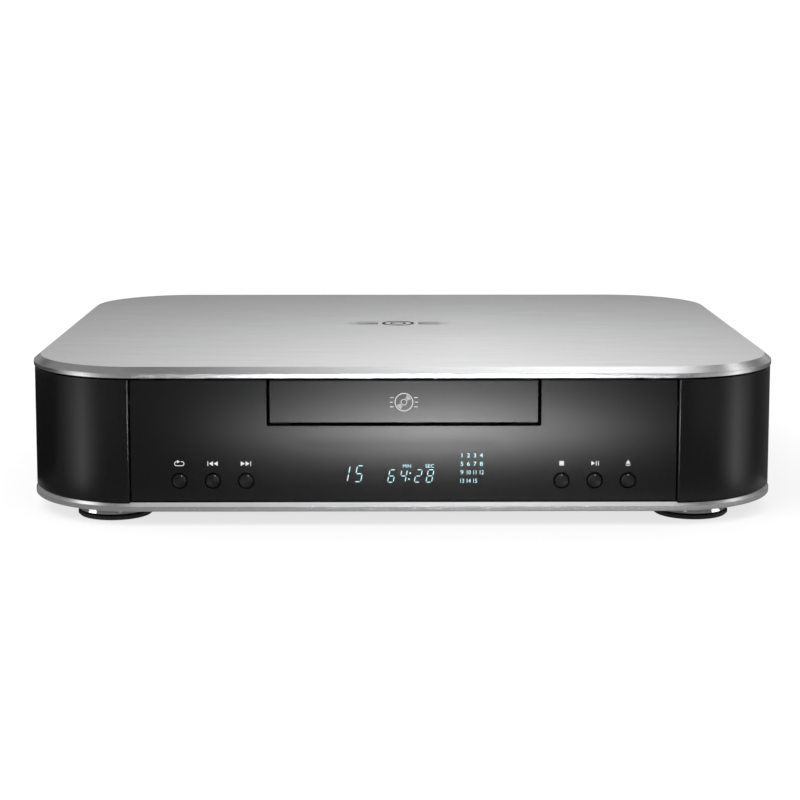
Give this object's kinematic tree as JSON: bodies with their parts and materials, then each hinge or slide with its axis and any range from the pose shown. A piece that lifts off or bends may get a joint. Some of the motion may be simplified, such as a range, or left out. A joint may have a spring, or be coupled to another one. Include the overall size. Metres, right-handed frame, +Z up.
{
  "type": "cd player",
  "caption": "Full-width hi-fi disc player with a motorised tray, display, front buttons, rounded metal slabs and wrap-round black shells on round feet.",
  "frame": {"origin": "centre of the object's box in plan, on the surface that the feet stand on", "axes": "-Y is the front with the tray door, +X is the right-hand side seen from the front, +Z is up"},
  "size_m": [0.43, 0.35, 0.0895],
  "materials": {
    "case_metal": "brushed along X, satin",
    "black_anodised": "fine satin black",
    "button_cap": "spun black metal",
    "smoked_window": "satin smoked acrylic",
    "black_plastic": "fine moulded texture",
    "rubber": "matt",
    "steel": "zinc plated",
    "nylon": "natural",
    "circuit_board": "solder mask",
    "gold_plate": "gold plated",
    "winding": "lacquered tape",
    "lens_glass": "coated",
    "display_glow": "lit display segments",
    "white_print": "screen printed marks"
  },
  "bodies": {
    "chassis": {"base_plate": "case_metal", "chassis": "steel", "clamp_bridge": "steel", "coax_output": "gold_plate", "corner_post_front_left": "steel", "corner_post_front_right": "steel", "corner_post_rear_left": "steel", "corner_post_rear_right": "steel", "display_module": "circuit_board", "display_window": "smoked_window", "foot_pad_front_left": "rubber", "foot_pad_front_right": "rubber", "foot_pad_rear_left": "rubber", "foot_pad_rear_right": "rubber", "foot_ring_front_left": "case_metal", "foot_ring_front_right": "case_metal", "foot_ring_rear_left": "case_metal", "foot_ring_rear_right": "case_metal", "front_fascia": "black_anodised", "key_board_left": "circuit_board", "key_board_right": "circuit_board", "left_shell": "black_anodised", "loader_belt": "rubber", "loader_frame": "black_plastic", "loader_motor": "steel", "main_board": "circuit_board", "optical_output": "black_plastic", "power_board": "circuit_board", "power_inlet": "black_plastic", "power_switch": "black_plastic", "rca_output_left": "gold_plate", "rca_output_right": "gold_plate", "rear_panel": "black_anodised", "right_shell": "black_anodised", "top_cover": "case_metal", "transformer": "winding", "transformer_bolt": "steel"},
    "tray": {"disc_tray": "black_plastic", "tray_door": "black_anodised"},
    "drive_gear": {"drive_gear": "nylon"},
    "pulley_gear": {"pulley_gear": "nylon"},
    "motor_pulley": {"motor_pulley": "steel"},
    "traverse": {"traverse_plate": "steel", "spindle_motor": "steel", "guide_rod_left": "steel", "guide_rod_right": "steel", "sled_motor": "steel"},
    "turntable": {"turntable": "black_plastic"},
    "sled": {"pickup_sled": "black_plastic"},
    "lens": {"objective_lens": "lens_glass"},
    "sled_gear": {"sled_gear": "nylon"},
    "clamp_puck": {"clamp_puck": "black_plastic"},
    "power_rocker": {"power_rocker": "black_plastic"},
    "button_repeat": {"button_repeat": "button_cap"},
    "button_previous": {"button_previous": "button_cap"},
    "button_next": {"button_next": "button_cap"},
    "button_stop": {"button_stop": "button_cap"},
    "button_play": {"button_play": "button_cap"},
    "button_eject": {"button_eject": "button_cap"}
  },
  "joints": [
    {"name": "tray_slide", "type": "slide", "parent": "chassis", "child": "tray", "axis": [0, -1, 0], "range_m": [0, 0.14]},
    {"name": "drive_gear_spin", "type": "hinge", "parent": "chassis", "child": "drive_gear", "pos_m": [-0.046, -0.146, 0.0684], "axis": [0, 0, 1], "range_deg": [0, 669]},
    {"name": "pulley_gear_spin", "type": "hinge", "parent": "chassis", "child": "pulley_gear", "pos_m": [-0.028, -0.146, 0.065], "axis": [0, 0, 1], "range_deg": [-1338, 0]},
    {"name": "motor_pulley_spin", "type": "hinge", "parent": "chassis", "child": "motor_pulley", "pos_m": [0.008, -0.146, 0.063], "axis": [0, 0, 1], "range_deg": [-4080, 0]},
    {"name": "traverse_lift", "type": "hinge", "parent": "chassis", "child": "traverse", "pos_m": [0, 0.002, 0.0626], "axis": [1, 0, 0], "range_deg": [0, 4.6]},
    {"name": "spindle_spin", "type": "hinge", "parent": "traverse", "child": "turntable", "pos_m": [0, -0.098, 0.075], "axis": [0, 0, 1], "continuous": true},
    {"name": "clamp_spin", "type": "hinge", "parent": "chassis", "child": "clamp_puck", "pos_m": [0, -0.098, 0.08], "axis": [0, 0, 1], "continuous": true},
    {"name": "sled_slide", "type": "slide", "parent": "traverse", "child": "sled", "axis": [0, 1, 0], "range_m": [0, 0.035]},
    {"name": "sled_gear_spin", "type": "hinge", "parent": "traverse", "child": "sled_gear", "pos_m": [0.036, -0.052, 0.0656], "axis": [0, 0, 1], "range_deg": [-335, 0]},
    {"name": "lens_focus", "type": "slide", "parent": "sled", "child": "lens", "axis": [0, 0, 1], "range_m": [-0.0005, 0.0005], "stiffness_N_per_m": 60},
    {"name": "power_rock", "type": "hinge", "parent": "chassis", "child": "power_rocker", "pos_m": [-0.066, 0.161, 0.038], "axis": [0, 0, 1], "range_deg": [-16, 0]},
    {"name": "press_repeat", "type": "slide", "parent": "chassis", "child": "button_repeat", "axis": [0, 1, 0], "range_m": [0, 0.0008], "stiffness_N_per_m": 600},
    {"name": "press_previous", "type": "slide", "parent": "chassis", "child": "button_previous", "axis": [0, 1, 0], "range_m": [0, 0.0008], "stiffness_N_per_m": 600},
    {"name": "press_next", "type": "slide", "parent": "chassis", "child": "button_next", "axis": [0, 1, 0], "range_m": [0, 0.0008], "stiffness_N_per_m": 600},
    {"name": "press_stop", "type": "slide", "parent": "chassis", "child": "button_stop", "axis": [0, 1, 0], "range_m": [0, 0.0008], "stiffness_N_per_m": 600},
    {"name": "press_play", "type": "slide", "parent": "chassis", "child": "button_play", "axis": [0, 1, 0], "range_m": [0, 0.0008], "stiffness_N_per_m": 600},
    {"name": "press_eject", "type": "slide", "parent": "chassis", "child": "button_eject", "axis": [0, 1, 0], "range_m": [0, 0.0008], "stiffness_N_per_m": 600}
  ],
  "couplings": [
    {"joint": "drive_gear_spin", "follows": "tray_slide", "rad_per_m": 83.333},
    {"joint": "pulley_gear_spin", "follows": "tray_slide", "rad_per_m": -166.67},
    {"joint": "motor_pulley_spin", "follows": "tray_slide", "rad_per_m": -508.33},
    {"joint": "clamp_spin", "follows": "spindle_spin", "ratio": 1},
    {"joint": "sled_gear_spin", "follows": "sled_slide", "rad_per_m": -166.67}
  ]
}
